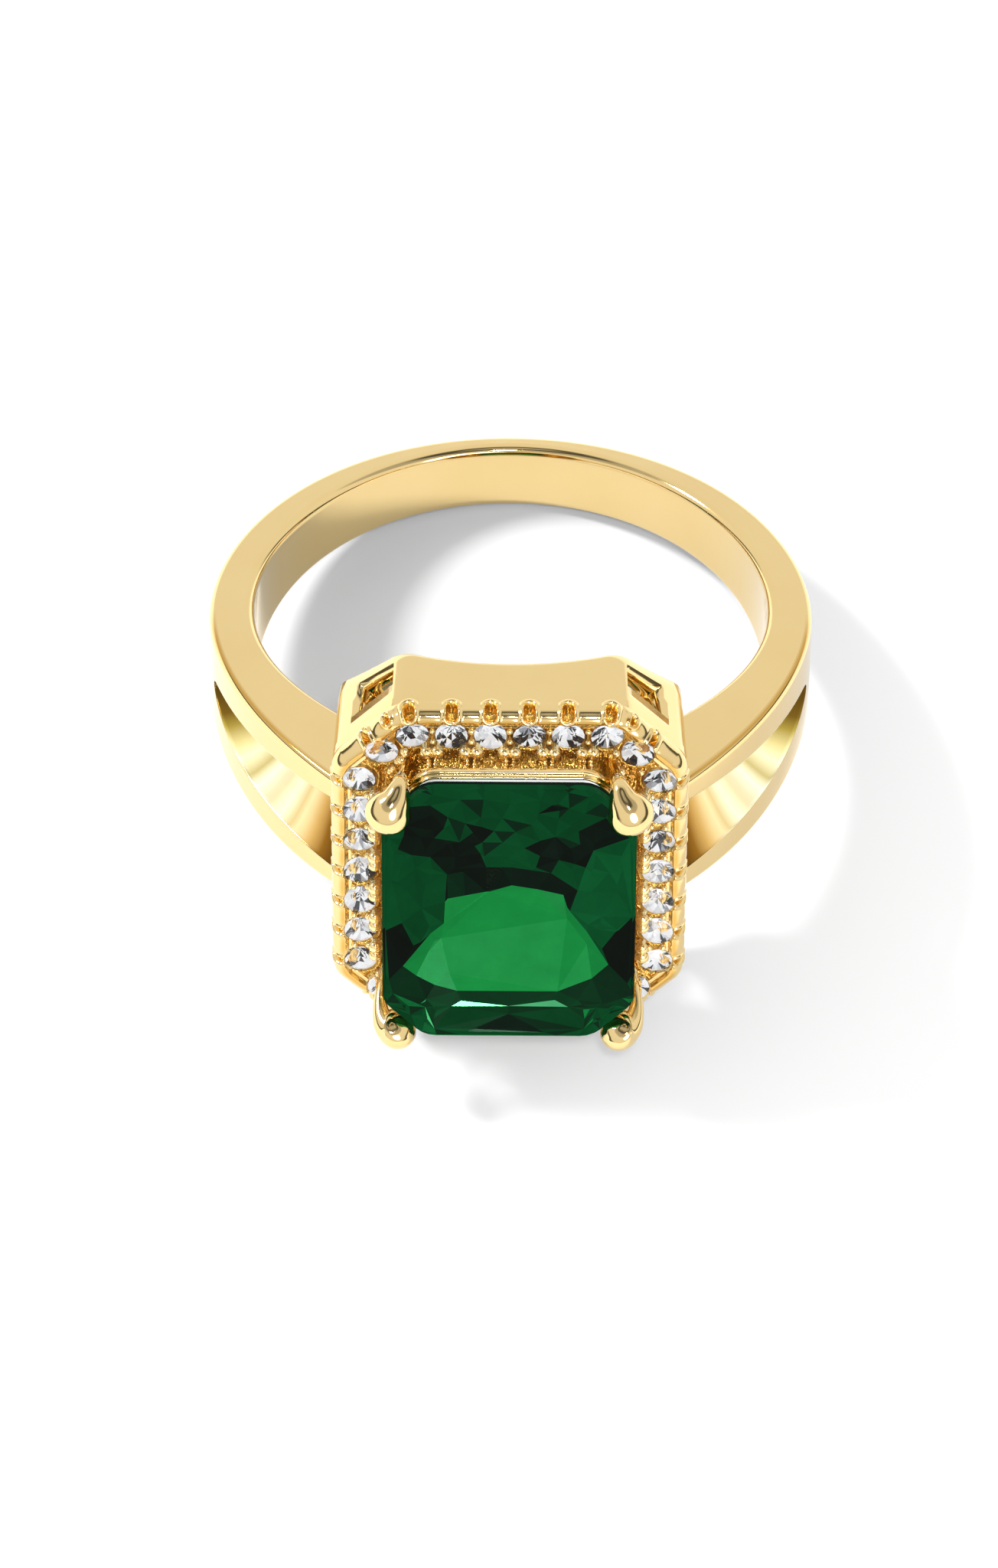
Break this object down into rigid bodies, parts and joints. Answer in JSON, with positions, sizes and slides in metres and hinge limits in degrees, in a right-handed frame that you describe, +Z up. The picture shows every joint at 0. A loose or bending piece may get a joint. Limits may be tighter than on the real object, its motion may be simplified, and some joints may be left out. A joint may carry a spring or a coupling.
{
  "type": "cocktail ring",
  "caption": "Split-shank finger ring with a cut-corner head, a halo of small round stones and a large rectangular stone held in corner claws.",
  "frame": {"origin": "middle of the ring's box on the surface it lies on", "axes": "+Z up off the surface, -Y the way the head faces, +X across the head; the finger axis leans 17.8 degrees from +Z"},
  "size_m": [0.0202, 0.0242, 0.0141],
  "materials": {
    "gold_plate": "mirror-polished light yellow gold plate",
    "green_stone": "deep green faceted stone",
    "clear_stone": "clear faceted stone"
  },
  "bodies": {
    "root": {"shank_hoop": "gold_plate", "shoulder_upper_right": "gold_plate", "claw_upper_right": "gold_plate", "corner_strut_upper_right": "gold_plate", "shoulder_upper_left": "gold_plate", "claw_upper_left": "gold_plate", "corner_strut_upper_left": "gold_plate", "shoulder_lower_left": "gold_plate", "claw_lower_left": "gold_plate", "corner_strut_lower_left": "gold_plate", "shoulder_lower_right": "gold_plate", "claw_lower_right": "gold_plate", "corner_strut_lower_right": "gold_plate", "gallery_wall": "gold_plate", "halo_tray": "gold_plate", "stone_rail": "gold_plate", "centre_stone": "green_stone", "halo_stone_01": "clear_stone", "halo_stone_02": "clear_stone", "halo_stone_03": "clear_stone", "halo_stone_04": "clear_stone", "halo_stone_05": "clear_stone", "halo_stone_06": "clear_stone", "halo_stone_07": "clear_stone", "halo_stone_08": "clear_stone", "halo_stone_09": "clear_stone", "halo_stone_10": "clear_stone", "halo_stone_11": "clear_stone", "halo_stone_12": "clear_stone", "halo_stone_13": "clear_stone", "halo_stone_14": "clear_stone", "halo_stone_15": "clear_stone", "halo_stone_16": "clear_stone", "halo_stone_17": "clear_stone", "halo_stone_18": "clear_stone", "halo_stone_19": "clear_stone", "halo_stone_20": "clear_stone", "halo_stone_21": "clear_stone", "halo_stone_22": "clear_stone", "halo_stone_23": "clear_stone", "halo_stone_24": "clear_stone", "halo_stone_25": "clear_stone", "halo_stone_26": "clear_stone", "halo_stone_27": "clear_stone", "halo_stone_28": "clear_stone", "halo_stone_29": "clear_stone", "halo_stone_30": "clear_stone"}
  },
  "joints": []
}
